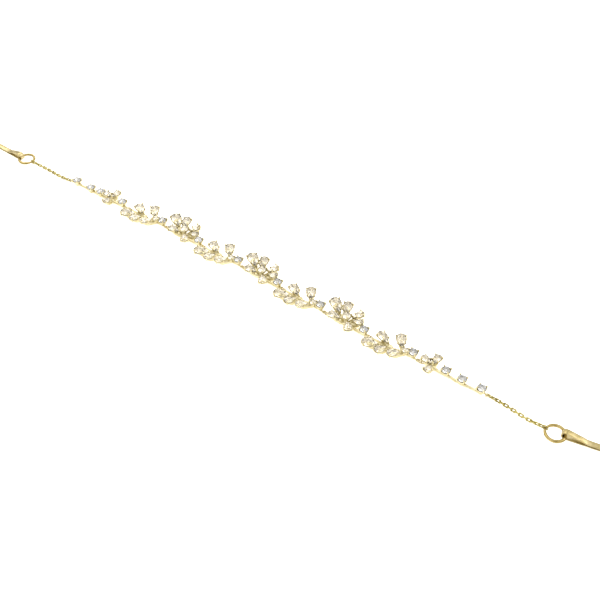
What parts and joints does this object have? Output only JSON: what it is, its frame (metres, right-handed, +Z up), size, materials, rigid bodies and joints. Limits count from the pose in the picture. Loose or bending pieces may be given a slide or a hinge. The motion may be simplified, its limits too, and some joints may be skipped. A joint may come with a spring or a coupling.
{
  "type": "hair vine",
  "caption": "Bendable cast hair vine set with colourless round and pear crystals, with a fine chain, an end ring and a threaded hair pin at each end.",
  "frame": {"origin": "middle of the footprint of the whole vine, on the surface that it lies on", "axes": "+X along the vine from the left end ring to the right one, +Y away from the viewer, +Z up from the surface, the side that the stones face"},
  "size_m": [0.3694, 0.0194, 0.0059],
  "materials": {
    "gold_plate": "polished, light gold plate",
    "crystal": "cut and polished, colourless"
  },
  "bodies": {
    "root": {"hair_pin_left": "gold_plate", "end_ring_left": "gold_plate", "tail_chain_left": "gold_plate", "start_spray": "gold_plate", "leaf_spray_1": "gold_plate", "flower_spray_1": "gold_plate", "leaf_spray_2": "gold_plate", "flower_spray_2": "gold_plate", "leaf_spray_3": "gold_plate", "flower_spray_3": "gold_plate", "leaf_spray_4": "gold_plate", "end_spray": "gold_plate", "tail_chain_right": "gold_plate", "end_ring_right": "gold_plate", "hair_pin_right": "gold_plate", "link_1": "gold_plate", "link_2": "gold_plate", "link_3": "gold_plate", "link_4": "gold_plate", "link_5": "gold_plate", "link_6": "gold_plate", "link_7": "gold_plate", "link_8": "gold_plate", "start_spray_stones": "crystal", "leaf_spray_1_stones": "crystal", "flower_spray_1_stones": "crystal", "leaf_spray_2_stones": "crystal", "flower_spray_2_stones": "crystal", "leaf_spray_3_stones": "crystal", "flower_spray_3_stones": "crystal", "leaf_spray_4_stones": "crystal", "end_spray_stones": "crystal"}
  },
  "joints": []
}
